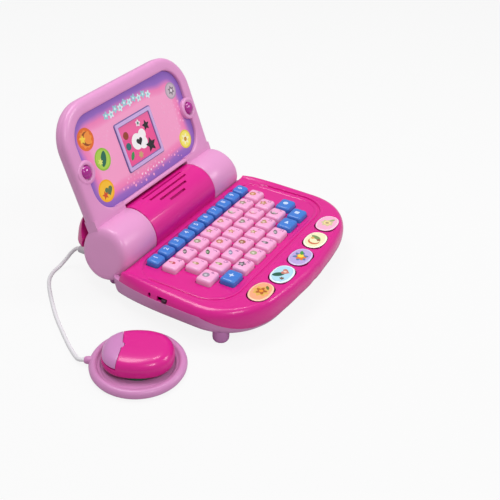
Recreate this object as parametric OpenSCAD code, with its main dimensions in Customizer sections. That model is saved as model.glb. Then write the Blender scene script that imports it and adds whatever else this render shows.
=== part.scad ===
// Toy laptop computer with a wired mouse. Lengths are in millimetres.
// X points to the user's right, Y away from the user and Z up from the table.
// The origin is on the table, below the middle of the laptop and its mouse.

/* [Base] */
// Width of the base across its sides
base_w = 222; // [220:1:226]
// Distance of the base's front edge from the middle of the base
base_front = 98; // [97:1:100]
// Distance of the flat slab's rear edge from the middle of the base
base_back = 92; // [90:1:94]
// Radius of the two front corners in plan
front_corner = 57; // [54:1:60]
// Radius of the two rear corners in plan
rear_corner = 52; // [48:1:54]
// Height of the deck around the keys
deck_z = 35; // [34.5:0.5:35.5]
// Height of the flat underside
floor_z = 7; // [6.5:0.5:7.5]
// Height of the joint between the two shells, along the sides and the rear
part_z = 28; // [27.5:0.5:28]
// Height of the joint between the two shells, at the front
part_front_z = 14; // [13:0.5:16]
// Wall of the moulded shells
wall = 2.4; // [2:0.1:2.8]

/* [Hinge and lid] */
// Height of the hinge axis
hinge_z = 40; // [39.5:0.5:41]
// Distance of the hinge axis behind the middle of the base
hinge_y = 61; // [60:0.5:62]
// Radius of the hinge barrel
barrel_r = 24.5; // [23:0.5:25]
// Half the length of the fixed middle of the barrel
barrel_half = 49; // [45:0.5:50]
// Distance of the lid knuckles' ends from the middle of the base
knuckle_end = 101; // [99:0.5:101.5]
// Radius of the journals that the lid turns on
journal_r = 9; // [8:0.5:10]
// Lean of the open lid from upright
lid_tilt = 21; // [18:0.5:24]
// Half the width of the lid
lid_half = 97; // [95:0.5:99]
// Distance of the lid's top edge from the hinge axis
lid_top = 131; // [128:0.5:134]
// Radius of the lid's upper corners
lid_corner = 32; // [24:1:36]

/* [Keys] */
// Spacing of the letter keys along a row
key_pitch = 20; // [19.6:0.1:20.4]
// Spacing of the letter rows
row_pitch = 17.2; // [16.9:0.1:17.4]
// Height of the key tops
key_top = 39.5; // [38:0.5:40]
// Width of the five oval picture buttons
button_w = 28; // [24:0.5:28.5]
// Depth of the five oval picture buttons
button_d = 19; // [16:0.5:19.5]

/* [Mouse] */
// Radius of the saucer that the mouse rocks in
saucer_r = 39; // [38:0.5:42]
// Length of the mouse body
mouse_l = 57; // [54:0.5:58]
// Width of the mouse body
mouse_w = 44; // [40:0.5:46]
// Height of the mouse body's top
mouse_top = 30; // [28:0.5:33]
// Turn of the mouse's nose to the left of straight away from the user
mouse_turn = 30; // [20:1:40]
// Diameter of the mouse cord
cord_d = 3.5; // [3:0.1:3.9]

/* [Hidden] */
$fn = 96;
ROWS = ["ABCDEFGH", "IJKLMNO", "PQRSTUV", "WXYZ"];
LETTERS = "abcdefghijklmnopqrstuvwxyz";

// Places
base_half = base_w / 2;
mouse_reach = 161;
base_x = (mouse_reach + saucer_r - base_half) / 2;
base_y = -11.3;
mouse_x = base_x - mouse_reach;
mouse_y = base_y - 22.5;
edge_top = 9;
edge_bottom = 18;
gap = 0.4;
run = 0.05;

// Hinge and rear hump, as distances from the hinge axis
hump_r = 41;
hump_half = 74;
hump_end_r = 25;
hump_front = 20.5;
trough_r = barrel_r + 1;
knuckle_start = barrel_half + gap;
taper_start = 91;
end_r = 19.5;
taper_r = (pow(knuckle_end - taper_start, 2) + pow(barrel_r - end_r, 2)) / (2 * (barrel_r - end_r));
journal_l = 11;

// Speaker slots: turn from upright towards the user, and length
SLOTS = [[-8, 62], [8, 58], [22, 42], [35, 24]];
slot_w = 2.2;
speaker_turn = 15;

// Keyboard
field_z = deck_z - 1;
field_half = 98;
field_front = -64;
field_rear = 32;
field_corner = 30;
row_y = 5;
number_y = 22;
number_pitch = 16;
key_w = 17.4;
key_d = 14.4;
number_w = 14.6;
number_d = 12.4;
flange_top = deck_z - wall - 0.3;
flange_t = 1.2;
stem_z = deck_z - 4.2;
membrane_z = 27.6;
board_z = 26;
button_top = deck_z + 1.3;
BUTTON_X = [-63, -31.5, 0, 31.5, 63];
BUTTON_Y = [-76.5, -79.7, -80.8, -79.7, -76.5];

// Screws and feet
POSTS = [[-96, -44], [96, -44], [-98, 13], [98, 13], [-40, 74], [40, 74], [-47, -62.5], [47, -62.5]];
FEET = [[-95, -58, 13.5], [95, -58, 13.5], [-80, 64, 11.5], [80, 64, 11.5]];
foot_r = 7.8;
foot_side_z = 4.2;

// Battery compartment
bay_y = -18;
bay_w = 60;
bay_d = 48;
cell_r = 7.1;
cell_l = 50.5;
cell_z = floor_z + 9.6;

// Side controls on the user's left
switch_y = -10;
switch_z = 29.8;
jack_y = 3;

// Lid, seen from its front: X, distance from the hinge axis, depth behind the axis
lid_bottom = 22.2;
frame_front = -1;
frame_back = 4;
cover_back = 13.5;
panel_w = 158;
panel_h = 86;
panel_mid = 73.3;
panel_corner = 16;
panel_front = 2;
panel_t = 1.2;
seat_back = 5;
window_w = 54;
window_h = 45.7;
window_mid = 71;
lamp_x = 79;
lamp_t = 71.5;
lamp_r = 6.2;
lamp_ring_r = 10.5;

// Mouse
floor_t = 3.2;
rim_r = 4.5;
skirt_z = 6;
pivot_z = 11;
pin_r = 1.5;
dome_r = 36;
button_edge = 8.8;
button_low = 13.8;
collar_turn = 24;
collar_l = 4;

// Cord route from the strain relief to the mouse collar, measured from the middle of the base
CORD = [[-74, 106.2, 20], [-74.5, 110, 19.2], [-77, 114.5, 14.5], [-81, 118, 8.5], [-87, 120.5, 3.6],
        [-96, 121, 1.8], [-106, 117, 1.8], [-116, 109, 1.8], [-130, 94, 1.8], [-146, 75, 1.8],
        [-161, 54, 1.8], [-171, 39, 1.8], [-178, 27, 2.8], [-180.5, 21.2, 4.4], [-178.7, 17.1, 4.5]];
cord_steps = 2;
cord_sides = 8;

// ---- Helpers ----

module at_base() translate([base_x, base_y, 0]) children();
module at_hinge() at_base() translate([0, hinge_y, hinge_z]) children();
module in_lid() at_hinge() rotate([-lid_tilt, 0, 0]) children();
module in_mouse() translate([mouse_x, mouse_y, 0]) rotate([0, 0, mouse_turn]) children();

module rounded(w, d, r) {
    square([w - 2 * r, d], center = true);
    square([w, d - 2 * r], center = true);
    for (sx = [-1, 1], sy = [-1, 1]) translate([sx * (w / 2 - r), sy * (d / 2 - r)]) circle(r = r);
}

module block(w, d, h, r) linear_extrude(height = h) rounded(w, d, r);

module rod_x(x0, x1, r) translate([x0, 0, 0]) rotate([0, 90, 0]) cylinder(h = x1 - x0, r = r);

module rod_y(y0, y1, r) translate([0, y0, 0]) rotate([-90, 0, 0]) cylinder(h = y1 - y0, r = r);

// ---- Base body, as a solid shrunk by the inset i ----

// Section of the slab's outer edge, as deep as given: rounded over at the deck, rolled under at the floor.
module edge_profile(reach, depth, i) {
    rt = edge_top - i;
    rb = edge_bottom - i;
    difference() {
        translate([reach - depth, floor_z + i]) square([depth, deck_z - floor_z - 2 * i]);
        translate([reach - rt, deck_z - i - rt]) difference() {
            square(rt + 1);
            circle(r = rt);
        }
        translate([reach - rb, floor_z + i + rb]) mirror([0, 1]) difference() {
            square(rb + 1);
            circle(r = rb);
        }
    }
}

// Straight run of the edge: starts level with a corner's centre, faces the turn and goes to its right.
module edge_run(x, y, turn, length, reach, i) translate([x, y, 0]) rotate([0, 0, turn]) rotate([90, 0, 0])
    linear_extrude(height = length) edge_profile(reach - i, 40 - i, i);

// Plan: a slab with wide round corners, its front corners the wider.
corner_x = base_half - front_corner;
corner_y = -base_front + front_corner;
rear_x = base_half - rear_corner;
rear_y = base_back - rear_corner;

module slab(i) {
    edge_run(corner_x, corner_y, -90, 2 * corner_x, front_corner, i);
    edge_run(-rear_x, rear_y, 90, 2 * rear_x, rear_corner, i);
    for (s = [0, 1]) mirror([s, 0, 0]) {
        translate([corner_x, corner_y, 0]) rotate_extrude() edge_profile(front_corner - i, front_corner - i, i);
        translate([rear_x, rear_y, 0]) rotate_extrude() edge_profile(rear_corner - i, rear_corner - i, i);
        edge_run(corner_x, rear_y, 0, rear_y - corner_y, front_corner, i);
    }
    translate([0, 0, floor_z + i]) linear_extrude(height = deck_z - floor_z - 2 * i) polygon([
        [-corner_x, corner_y - 22], [corner_x, corner_y - 22], [corner_x + 26, corner_y],
        [corner_x + 26, rear_y], [rear_x, rear_y + 16], [-rear_x, rear_y + 16],
        [-corner_x - 26, rear_y], [-corner_x - 26, corner_y]]);
}

// Rounded hump behind the lid, turned about the hinge axis and cut along the open lid's back.
module hump(i) intersection() {
    translate([0, hinge_y, hinge_z]) rotate([0, 90, 0]) rotate_extrude() intersection() {
        union() {
            translate([0, -hump_half]) square([hump_r - i, 2 * hump_half]);
            for (s = [-1, 1]) translate([hump_r - hump_end_r, s * hump_half]) circle(r = hump_end_r - i);
            translate([0, -hump_half - hump_end_r + i])
                square([hump_r - hump_end_r, 2 * (hump_half + hump_end_r - i)]);
        }
        translate([0, -200]) square([100, 400]);
    }
    translate([0, hinge_y, hinge_z]) rotate([-lid_tilt, 0, 0]) translate([-120, hump_front + i, -90])
        cube([240, 80, 150]);
    translate([-120, 0, floor_z + i]) cube([240, 160, 90]);
}

module barrel(i) translate([0, hinge_y, hinge_z]) rod_x(-barrel_half + i, barrel_half - i, barrel_r - i);

// Trough that a knuckle turns in, out to a cheek at the base's side.
module knuckle_space(i) translate([0, hinge_y, hinge_z]) for (s = [0, 1])
    mirror([s, 0, 0]) rod_x(barrel_half - i, i > 0 ? 130 : knuckle_end + gap, trough_r + i);

module body(i) difference() {
    union() {
        slab(i);
        hump(i);
        barrel(i);
    }
    knuckle_space(i);
}

module shell() difference() {
    body(0);
    body(wall);
}

// Everything above the joint between the shells, which drops towards the front.
module above_joint() rotate([90, 0, 90]) translate([0, 0, -150]) linear_extrude(height = 300) polygon([
    [-150, part_front_z], [-84, part_front_z], [-46, part_z], [150, part_z], [150, 100], [-150, 100]]);

module key_window(x, y, w, d) translate([x, y, deck_z - wall - 1]) block(w + 2 * gap, d + 2 * gap, 8, 2.4);

// ---- Base pieces ----

module base_top_shell() color("#d41b8c") at_base() difference() {
    union() {
        intersection() {
            shell();
            above_joint();
        }
        intersection() {
            for (p = POSTS) translate([p[0], p[1], part_z - 3]) cylinder(h = 60, r = 4);
            body(1);
        }
        translate([0, hinge_y, hinge_z]) for (s = [0, 1]) mirror([s, 0, 0])
            rod_x(barrel_half - 1, barrel_half + journal_l, journal_r);
        intersection() {
            translate([0, hinge_y, hinge_z]) rotate([speaker_turn, 0, 0]) difference() {
                translate([0, 0, 11]) cylinder(h = 20, r = 17.4);
                translate([0, 0, 10]) cylinder(h = 22, r = 16.1);
            }
            barrel(1);
        }
    }
    translate([0, hinge_y, hinge_z]) rod_x(-barrel_half - 20, barrel_half + 20, journal_r - 3);
    for (p = POSTS) translate([p[0], p[1], part_z - 4]) cylinder(h = 8, r = 1.2);
    for (r = [0:3], i = [0:len(ROWS[r]) - 1]) key_window(letter_x(r, i), letter_y(r), key_w, key_d);
    for (i = [0:3]) key_window(FUNCTION_X[i], FUNCTION_Y[i], key_w, key_d);
    key_window(0, number_y, 9 * number_pitch + number_w, number_d);
    for (i = [0:4]) translate([BUTTON_X[i], BUTTON_Y[i], deck_z - 6]) {
        block(button_w + 2 * gap, button_d + 2 * gap, 12, button_d / 2);
        block(button_w + 2.8, button_d + 2.8, 6 - wall, button_d / 2 + 1.2);
    }
    translate([0, (field_front + field_rear) / 2, field_z])
        block(2 * field_half, field_rear - field_front, 2, field_corner);
    translate([0, hinge_y, hinge_z]) for (s = [0, 1]) mirror([s, 0, 0]) rod_x(knuckle_end, 130, trough_r);
    for (s = SLOTS) translate([0, hinge_y, hinge_z]) rotate([s[0], 0, 0])
        translate([-s[1] / 2, -slot_w / 2, barrel_r - 5]) cube([s[1], slot_w, 8]);
    translate([-base_half - 2, switch_y - 5, switch_z - 1.6]) cube([8, 10, 3.2]);
    translate([-base_half - 2, jack_y, switch_z]) rod_x(0, 8, 1.6);
    translate([CORD[0][0], 0, CORD[0][2]]) rod_y(86, 110, 3.5);
}

module base_bottom_shell() color("#c58bc4") at_base() difference() {
    union() {
        difference() {
            shell();
            above_joint();
        }
        intersection() {
            for (p = POSTS) translate([p[0], p[1], floor_z]) cylinder(h = part_z - 3 - floor_z, r = 4);
            body(1);
        }
        bay_walls();
    }
    for (p = POSTS) translate([p[0], p[1], 0]) {
        cylinder(h = 60, r = 1.8);
        cylinder(h = floor_z + 8, r = 3);
    }
    translate([0, bay_y, 0]) block(bay_w, bay_d, floor_z + wall + 1, 3);
    for (f = FEET) translate([f[0], f[1], 0]) cylinder(h = f[2], r = foot_r + 0.1);
    translate([CORD[0][0], 0, CORD[0][2]]) rod_y(86, 110, 3.5);
    for (s = [-1, 1]) translate([s * 75, -30, 0]) for (k = [-2:2]) translate([0, k * 6, 0])
        block(26, 2, 12, 0.9);
}

// Open box around the cells, closed above by a thin roof.
module bay_walls() difference() {
    translate([0, bay_y, floor_z]) block(bay_w + 3, bay_d + 3, 17.9, 3);
    translate([0, bay_y, floor_z - 1]) block(bay_w, bay_d, 17.9, 2);
}

module battery_door() color("#c58bc4") at_base() difference() {
    translate([0, bay_y, floor_z]) block(bay_w - 2 * gap, bay_d - 2 * gap, 2.2, 2.6);
    for (k = [0:3]) translate([0, bay_y - 12 + k * 2.4, floor_z - 1]) block(16, 1, 1.6, 0.4);
}

module rubber_feet() color("#b574b4") at_base() for (f = FEET) translate([f[0], f[1], 0]) difference() {
    union() {
        translate([0, 0, foot_side_z]) intersection() {
            sphere(r = foot_r);
            translate([-10, -10, -foot_side_z]) cube([20, 20, foot_side_z]);
        }
        translate([0, 0, foot_side_z]) cylinder(h = f[2] - foot_side_z, r = foot_r);
    }
    translate([0, 0, -0.01]) cylinder(h = 1.5, r = 2);
}

module case_screws() color("silver") at_base() for (p = POSTS) translate([p[0], p[1], 0]) difference() {
    union() {
        translate([0, 0, floor_z + 6]) cylinder(h = 2, r = 2.8);
        translate([0, 0, floor_z + 7]) cylinder(h = 13, r = 1.15);
    }
    for (t = [0, 90]) translate([0, 0, floor_z + 5]) rotate([0, 0, t]) translate([-1.5, -0.3, 0])
        cube([3, 0.6, 2]);
}

// Plan of the sheets under the keys, with wide round corners at the front.
module inner_plan(w, front, rear) {
    translate([0, (front + rear) / 2]) rounded(w, rear - front, 28);
    translate([0, rear / 2 - 15]) rounded(w, rear + 30, 6);
}

module main_circuit_board() color("#2e7d4f") at_base() difference() {
    union() {
        translate([0, 0, board_z]) linear_extrude(height = 1.6) inner_plan(176, -86.5, 27);
        translate([-101, switch_y - 4, board_z]) cube([18, 20, 1.6]);
        translate([-60, -60, board_z - 2]) cylinder(h = 2, r = 7);
        translate([50, -50, board_z - 1.5]) block(14, 10, 1.5, 0.5);
        translate([-104, jack_y - 4, board_z + 1.6]) cube([12, 8, 4]);
    }
    translate([-110, jack_y, switch_z]) rod_x(0, 16, 1.2);
    for (x = [-80, 80], y = [-58, 20]) translate([x, y, board_z - 1]) cylinder(h = 4, r = 1.6);
    for (x = [-47, 47]) translate([x, -62.5, board_z - 1]) cylinder(h = 4, r = 4.6);
}

module key_membrane() color("#d9d4cf") at_base() {
    difference() {
        translate([0, 0, membrane_z]) linear_extrude(height = 1.2) inner_plan(168, -86, 26.5);
        for (x = [-47, 47]) translate([x, -62.5, membrane_z - 1]) cylinder(h = 4, r = 4.6);
    }
    for (r = [0:3], i = [0:len(ROWS[r]) - 1]) dome(letter_x(r, i), letter_y(r));
    for (i = [0:3]) dome(FUNCTION_X[i], FUNCTION_Y[i]);
    for (i = [0:9]) dome((i - 4.5) * number_pitch, number_y);
    for (i = [0:4]) dome(BUTTON_X[i], BUTTON_Y[i]);
}

module dome(x, y) translate([x, y, membrane_z + 1]) cylinder(h = stem_z - 0.2 - membrane_z - 1, r = 3.4);

module speaker() color("#3a3a40") at_hinge() rotate([speaker_turn, 0, 0]) difference() {
    union() {
        translate([0, 0, 12.6]) cylinder(h = 2, r = 16);
        translate([0, 0, 7]) cylinder(h = 6, r1 = 9, r2 = 14);
        translate([0, 0, 1]) cylinder(h = 6.5, r = 9);
    }
    translate([0, 0, 15.6]) sphere(r = 6);
}

module batteries() color("#5a6e86") at_base() for (k = [-1:1]) translate([0, bay_y + k * 15, cell_z]) {
    rod_x(-cell_l / 2, cell_l / 2 - 1, cell_r);
    rod_x(cell_l / 2 - 1.5, cell_l / 2, 2.6);
}

module battery_contacts() color("#c9c9c9") at_base() for (k = [-1:1], s = [-1, 1])
    translate([s * (bay_w / 2 - 0.4), bay_y + k * 15, cell_z]) {
        translate([-0.25, -5, -5]) cube([0.5, 10, 10]);
        mirror([s > 0 ? 1 : 0, 0, 0]) rod_x(0.2, bay_w / 2 - cell_l / 2 - 0.6, 3);
    }

module power_switch() color("#3c1430") at_base() translate([-base_half, switch_y - 2.2, switch_z]) {
    translate([0, -2, -1.2]) cube([8, 4, 2.4]);
    translate([6, -2.6, -1.4]) cube([3, 5.2, 2.8]);
}

module cord_grommet() color("#b9b2b8") at_base() translate([CORD[0][0], 0, CORD[0][2]]) difference() {
    union() {
        rod_y(86, CORD[0][1], 3.4);
        rod_y(85, 88, 4.6);
    }
    rod_y(84, CORD[0][1] + 1, cord_d / 2 + 0.1);
}

// ---- Keys ----

function letter_x(r, i) = r == 0 ? (i - 3.5) * key_pitch
    : r == 1 ? (i - 3) * key_pitch
    : r == 2 ? (i - 3.5) * key_pitch
    : (i - 2) * key_pitch;
function letter_y(r) = row_y - r * row_pitch;
FUNCTION_X = [3.5 * key_pitch, -3 * key_pitch, 2 * key_pitch, 3 * key_pitch];
FUNCTION_Y = [letter_y(2), letter_y(3), letter_y(3), letter_y(3)];

// Rounded cap over a stop flange, with a stem that reaches the membrane's dome.
module key_cap(w, d) {
    translate([0, 0, key_top - 1]) block(w - 1.6, d - 1.6, 1, 2.2);
    translate([0, 0, flange_top - 0.5]) block(w, d, key_top - 0.7 - flange_top + 0.2, 2.6);
    translate([0, 0, flange_top - flange_t]) block(w + 1.8, d + 2, flange_t, 1.4);
    translate([0, 0, stem_z]) cylinder(h = 2, r = 3);
}

module letter_key(n) {
    r = n < 8 ? 0 : n < 15 ? 1 : n < 22 ? 2 : 3;
    first = [0, 8, 15, 22][r];
    color("#f2a6d6") at_base() translate([letter_x(r, n - first), letter_y(r), 0]) key_cap(key_w, key_d);
}

module function_key(n) color("#4b86d6") at_base()
    translate([FUNCTION_X[n], FUNCTION_Y[n], 0]) key_cap(key_w, key_d);

module number_key_strip() color("#4b86d6") at_base() translate([0, number_y, 0]) {
    span = 9 * number_pitch + number_w;
    for (i = [0:9]) translate([(i - 4.5) * number_pitch, 0, 0]) {
        translate([0, 0, key_top - 5]) block(number_w, number_d, 4.2, 2.4);
        translate([0, 0, key_top - 1]) block(number_w - 1.6, number_d - 1.6, 1, 2);
        translate([0, 0, stem_z]) cylinder(h = 2, r = 2.6);
    }
    translate([0, 0, flange_top - 0.5]) block(span, number_d, field_z + 1.2 - flange_top + 0.5, 2.4);
    translate([0, 0, flange_top - flange_t]) block(span + 1.8, number_d + 1.6, flange_t, 1.4);
}

module picture_button(n) color(["#f5b491", "#a9d8f2", "#c3b4e6", "#f3efd2", "#f6b9d6"][n]) at_base()
    translate([BUTTON_X[n], BUTTON_Y[n], 0]) {
        translate([0, 0, flange_top - 0.5])
            block(button_w, button_d, button_top - flange_top - 0.3, button_d / 2 - 0.1);
        translate([0, 0, button_top - 1]) block(button_w - 1.6, button_d - 1.6, 1, button_d / 2 - 0.9);
        translate([0, 0, flange_top - flange_t])
            block(button_w + 1.6, button_d + 1.6, flange_t, button_d / 2 + 0.7);
        translate([0, 0, stem_z]) cylinder(h = 2, r = 3);
    }

// ---- Lid ----

// Front view of the lid, shrunk by i.
module lid_outline(i) {
    half = lid_half - i;
    top = lid_top - i;
    rc = lid_corner - i;
    low = lid_bottom + i;
    rl = 9 - i;
    translate([-half + rc, low + rl]) square([2 * (half - rc), top - low - rl]);
    translate([-half, low + rl]) square([2 * half, top - rc - low - rl]);
    translate([-half + rl, low]) square([2 * (half - rl), rl + 1]);
    for (s = [-1, 1]) {
        translate([s * (half - rc), top - rc]) circle(r = rc);
        translate([s * (half - rl), low + rl]) circle(r = rl);
    }
}

// Carries a front view drawn in X and distance from the axis to the depths y0 to y1.
module lid_plate(y0, y1) translate([0, y1, 0]) rotate([90, 0, 0]) linear_extrude(height = y1 - y0) children();

module panel_shape(i) translate([0, panel_mid]) rounded(panel_w - 2 * i, panel_h - 2 * i, panel_corner - i);

module window_shape(i) translate([0, window_mid]) rounded(window_w - 2 * i, window_h - 2 * i, 3);

module lamp_spots(r) for (s = [-1, 1]) translate([s * lamp_x, lamp_t]) circle(r = r);

// Solid of one lid knuckle, shrunk by i: a barrel that tapers to a flat end.
module knuckle(i) rotate([0, 90, 0]) rotate_extrude() intersection() {
    translate([0, knuckle_start + i]) square([barrel_r - i, knuckle_end - knuckle_start - 2 * i]);
    union() {
        translate([0, knuckle_start]) square([barrel_r, taper_start - knuckle_start]);
        translate([0, knuckle_start]) square([barrel_r - taper_r, knuckle_end - knuckle_start]);
        translate([barrel_r - taper_r, taper_start]) circle(r = taper_r - i, $fn = 200);
    }
}

module knuckle_pair() for (s = [0, 1]) mirror([s, 0, 0]) difference() {
    union() {
        difference() {
            knuckle(0);
            knuckle(wall);
        }
        rod_x(knuckle_start, barrel_half + journal_l, journal_r + 2.4);
    }
    rod_x(0, barrel_half + journal_l + 1, journal_r + run);
}

module middle_gap(r) rod_x(-barrel_half - gap, barrel_half + gap, r);

module lid_front_frame() color("#dd9bd0") in_lid() union() {
    knuckle_pair();
    difference() {
        union() {
            difference() {
                lid_plate(frame_front, frame_back) lid_outline(0);
                lid_plate(frame_front + 2, frame_back + 1) difference() {
                    lid_outline(2.2);
                    panel_shape(-2);
                    lamp_spots(lamp_ring_r);
                    translate([-lid_half, 0]) square([2 * lid_half, 28]);
                }
                lid_plate(frame_front - 1, frame_back + 1) panel_shape(0);
            }
            lid_plate(panel_front + panel_t, seat_back) panel_shape(-2);
            lid_plate(frame_front, seat_back) lamp_spots(lamp_ring_r);
        }
        lid_plate(0, 10) translate([0, window_mid]) square([46, 38], center = true);
        lid_plate(frame_front - 2, 10) lamp_spots(lamp_r + 0.2);
        middle_gap(trough_r - 0.2);
        for (s = [0, 1]) mirror([s, 0, 0]) rod_x(knuckle_start + 1, taper_start, barrel_r - wall + 0.2);
        for (s = [0, 1]) mirror([s, 0, 0]) knuckle(wall);
    }
}

module lid_back_cover() color("#dd9bd0") in_lid() difference() {
    lid_plate(frame_back, cover_back) lid_outline(0);
    lid_plate(frame_back - 1, cover_back - 2.2) lid_outline(2.2);
    middle_gap(trough_r - 0.2);
    for (s = [0, 1]) mirror([s, 0, 0]) rod_x(knuckle_start - 1, knuckle_end + 5, barrel_r + 0.1);
}

module picture_panel() color("#c17bc4") in_lid() lid_plate(panel_front, panel_front + panel_t) difference() {
    panel_shape(0.3);
    window_shape(-0.2);
    lamp_spots(lamp_ring_r + 0.2);
}

module screen_window() color("#b9a4dd") in_lid()
    lid_plate(panel_front - 0.6, panel_front + panel_t) window_shape(0);

module lcd_module() color("#8f6d9c") in_lid() {
    lid_plate(seat_back, seat_back + 2) translate([0, window_mid]) square([52, 44], center = true);
    lid_plate(seat_back + 1.5, seat_back + 3) translate([0, window_mid - 2]) square([44, 50], center = true);
}

module lid_lamps() color("#a3177f") in_lid() for (s = [-1, 1]) translate([s * lamp_x, 0, lamp_t]) {
    intersection() {
        translate([0, 4.2, 0]) sphere(r = 8);
        rod_y(-6, 2, lamp_r);
    }
    rod_y(-0.5, seat_back + 1, lamp_r);
    rod_y(seat_back, seat_back + 1.2, 8);
}

// ---- Mouse ----

module mouse_saucer() color("#c58bc4") in_mouse() difference() {
    union() {
        rotate_extrude() {
            square([saucer_r - rim_r, floor_t]);
            translate([saucer_r - rim_r, rim_r]) circle(r = rim_r);
            translate([saucer_r - rim_r - 4, 0]) square([4, floor_t + 1.6]);
        }
        for (s = [-1, 1]) translate([s * 5 - 1, -3, floor_t - 0.5]) cube([2, 6, pivot_z + 3 - floor_t]);
        rotate([0, 0, collar_turn - mouse_turn]) translate([0, 0, rim_r]) rod_y(saucer_r - 3, saucer_r + collar_l, 3);
    }
    translate([0, 0, pivot_z]) rod_x(-9, 9, pin_r + run);
    rotate([0, 0, collar_turn - mouse_turn]) translate([0, 0, rim_r])
        rod_y(saucer_r - 16, saucer_r + collar_l - 2, cord_d / 2);
    translate([0, 0, -0.01]) rotate_extrude() translate([10, 0]) square([18, 1.2]);
}

module mouse_board() color("#2e7d4f") in_mouse() translate([0, 0, floor_t]) difference() {
    cylinder(h = 1.4, r = 17);
    translate([0, 0, -1]) cylinder(h = 4, r = 8.5);
    for (a = [0:90:270]) rotate([0, 0, a + 45]) translate([13, 0, -1]) cylinder(h = 4, r = 1.3);
}

module mouse_pivot() color("#d8d8dc") in_mouse() translate([0, 0, pivot_z]) {
    translate([-3.4, -3.4, -2.4]) cube([6.8, 6.8, 4.8]);
    rod_x(-7, 7, pin_r);
    rod_y(-9, 9, pin_r);
}

// Rounded mouse body as a solid, shrunk by i.
module mouse_solid(i) intersection() {
    translate([0, 0, skirt_z]) linear_extrude(height = 40) mouse_plan(i);
    translate([0, 0, mouse_top - dome_r]) sphere(r = dome_r - i);
}

module mouse_plan(i) {
    for (s = [-1, 1]) translate([0, s * (mouse_l - mouse_w) / 2]) circle(r = mouse_w / 2 - i);
    square([mouse_w - 2 * i, mouse_l - mouse_w], center = true);
}

module mouse_wall() difference() {
    mouse_solid(0);
    translate([0, 0, -1]) mouse_solid(2.2);
    mouse_solid(2.2);
}

module nose_box(y, z) translate([-40, y, z]) cube([80, 60, 60]);

module mouse_shell() color("#d41b8c") in_mouse() difference() {
    union() {
        difference() {
            mouse_wall();
            nose_box(button_edge - gap, button_low - 1.6);
        }
        intersection() {
            for (s = [-1, 1]) translate([-5, s * 7 - 1, 8.5]) cube([10, 2, 40]);
            mouse_solid(1);
        }
    }
    translate([0, 0, pivot_z]) rod_y(-14, 14, pin_r + run);
}

module mouse_button() color("#e7a9da") in_mouse() {
    intersection() {
        mouse_wall();
        nose_box(button_edge, button_low);
    }
    intersection() {
        translate([0, 18, 12]) cylinder(h = 30, r = 2.5);
        mouse_solid(1);
    }
}

// Smooth route through the cord's points, and a ring of vertices at each step.
function spline(p, k, t) =
    let (a = p[max(k - 1, 0)], b = p[k], c = p[k + 1], d = p[min(k + 2, len(p) - 1)])
    0.5 * (2 * b + (c - a) * t + (2 * a - 5 * b + 4 * c - d) * t * t + (3 * b - a - 3 * c + d) * t * t * t);
route = concat([for (k = [0:len(CORD) - 2], j = [0:cord_steps - 1]) spline(CORD, k, j / cord_steps)],
               [CORD[len(CORD) - 1]]);
function unit(v) = v / norm(v);
function heading(k) = unit(route[min(k + 1, len(route) - 1)] - route[max(k - 1, 0)]);
function ring(k) =
    let (t = heading(k), side = unit(cross(t, [0, 0, 1])), up = cross(side, t))
    [for (j = [0:cord_sides - 1]) route[k] + cord_d / 2 * (cos(360 * j / cord_sides) * side
        + sin(360 * j / cord_sides) * up)];

module mouse_cord() color("#dedede") at_base() {
    last = len(route) - 1;
    verts = [for (k = [0:last], v = ring(k)) v];
    walls = [for (k = [0:last - 1], j = [0:cord_sides - 1])
        let (n = (j + 1) % cord_sides, a = k * cord_sides)
        [a + j, a + n, a + n + cord_sides, a + j + cord_sides]];
    ends = [[for (j = [cord_sides - 1:-1:0]) j], [for (j = [0:cord_sides - 1]) last * cord_sides + j]];
    polyhedron(points = verts, faces = concat(walls, ends));
}

base_top_shell();
base_bottom_shell();
battery_door();
rubber_feet();
case_screws();
main_circuit_board();
key_membrane();
speaker();
batteries();
battery_contacts();
power_switch();
cord_grommet();
lid_front_frame();
lid_back_cover();
picture_panel();
screen_window();
lcd_module();
lid_lamps();
number_key_strip();
mouse_saucer();
mouse_board();
mouse_pivot();
mouse_shell();
mouse_button();
mouse_cord();
for (i = [0:25]) letter_key(i);
for (i = [0:3]) function_key(i);
for (i = [0:4]) picture_button(i);
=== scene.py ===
import math
import bmesh
import bpy
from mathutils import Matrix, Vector


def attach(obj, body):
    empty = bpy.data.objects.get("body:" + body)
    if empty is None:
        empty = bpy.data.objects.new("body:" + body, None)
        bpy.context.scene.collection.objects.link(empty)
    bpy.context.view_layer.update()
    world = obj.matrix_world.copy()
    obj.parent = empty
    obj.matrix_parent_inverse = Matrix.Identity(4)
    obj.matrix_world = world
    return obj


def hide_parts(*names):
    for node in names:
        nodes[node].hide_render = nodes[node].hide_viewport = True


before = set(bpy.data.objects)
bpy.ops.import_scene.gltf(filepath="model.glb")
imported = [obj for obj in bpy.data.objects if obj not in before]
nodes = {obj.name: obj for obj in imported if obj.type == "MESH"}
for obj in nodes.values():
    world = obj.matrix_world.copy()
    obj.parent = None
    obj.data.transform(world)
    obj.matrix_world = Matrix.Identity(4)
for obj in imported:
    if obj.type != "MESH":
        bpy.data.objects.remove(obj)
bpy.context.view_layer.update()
scene = bpy.context.scene


def placed(name, data):
    """Puts an object with this data in the scene."""
    thing = bpy.data.objects.new(name, data)
    scene.collection.objects.link(thing)
    return thing


def settle(node, values):
    """Sets a node's inputs, given as a value for each label or number."""
    for label, value in values.items():
        node.inputs[label].default_value = value


# ---- Camera, table and soft light ----
# A plain pale table under the toy, a large soft lamp overhead with a small one beside it, one
# soft lamp on each side of the front, and an even pale surround.
def look(at_point, from_point):
    """The turn that points a camera or lamp at a point."""
    aim = Vector(at_point) - Vector(from_point)
    return aim.to_track_quat("-Z", "Y").to_euler()


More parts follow.
